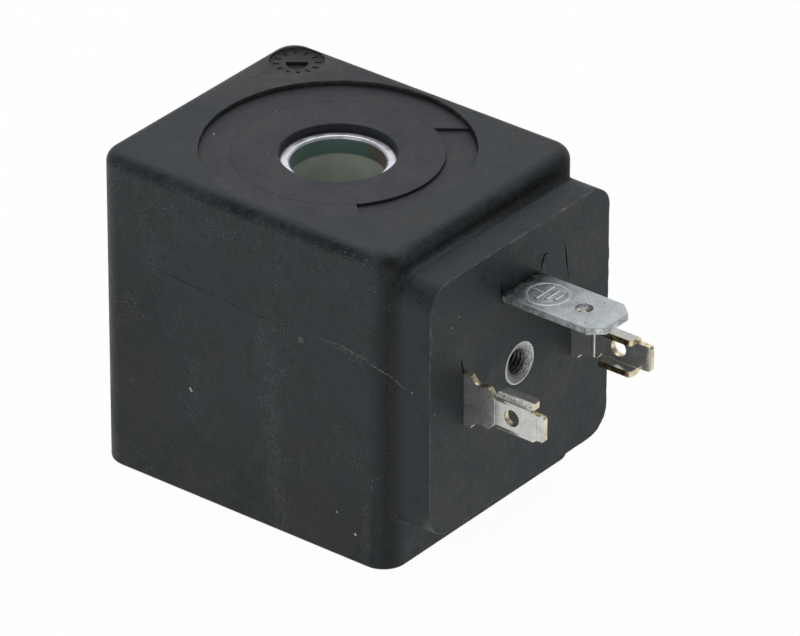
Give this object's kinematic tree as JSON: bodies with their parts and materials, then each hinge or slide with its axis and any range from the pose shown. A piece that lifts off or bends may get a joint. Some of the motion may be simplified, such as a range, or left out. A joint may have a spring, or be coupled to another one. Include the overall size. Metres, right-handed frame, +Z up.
{
  "type": "solenoid valve coil",
  "caption": "Black overmoulded solenoid valve coil with a through bore for an armature tube and a square plug pad with flat blade terminals and a screw insert.",
  "frame": {"origin": "centre of the through bore at the base of the coil", "axes": "+Z up along the bore towards the recessed top, -Y out of the connector pad, X across the two line terminals"},
  "size_m": [0.032, 0.0552, 0.0367],
  "materials": {
    "housing": "fine matt moulded, charcoal black",
    "bobbin": "natural moulded nylon, khaki",
    "copper": "enamelled copper wire",
    "tape": "polyester tape",
    "yoke_steel": "zinc plated, satin",
    "terminal_brass": "tin plated brass with bare cut edges",
    "earth_steel": "zinc plated, satin",
    "insert_steel": "zinc plated, grained",
    "sleeve": "varnished glass sleeve",
    "solder": "bright solder"
  },
  "bodies": {
    "root": {"housing": "housing", "bobbin": "bobbin", "winding": "copper", "winding_tape": "tape", "yoke": "yoke_steel", "yoke_plate": "yoke_steel", "line_terminal_left": "terminal_brass", "line_terminal_right": "terminal_brass", "earth_terminal": "earth_steel", "earth_rivet": "earth_steel", "threaded_insert": "insert_steel", "start_lead": "copper", "finish_lead": "copper", "start_sleeve": "sleeve", "finish_sleeve": "sleeve", "start_solder": "solder", "finish_solder": "solder"}
  },
  "joints": []
}
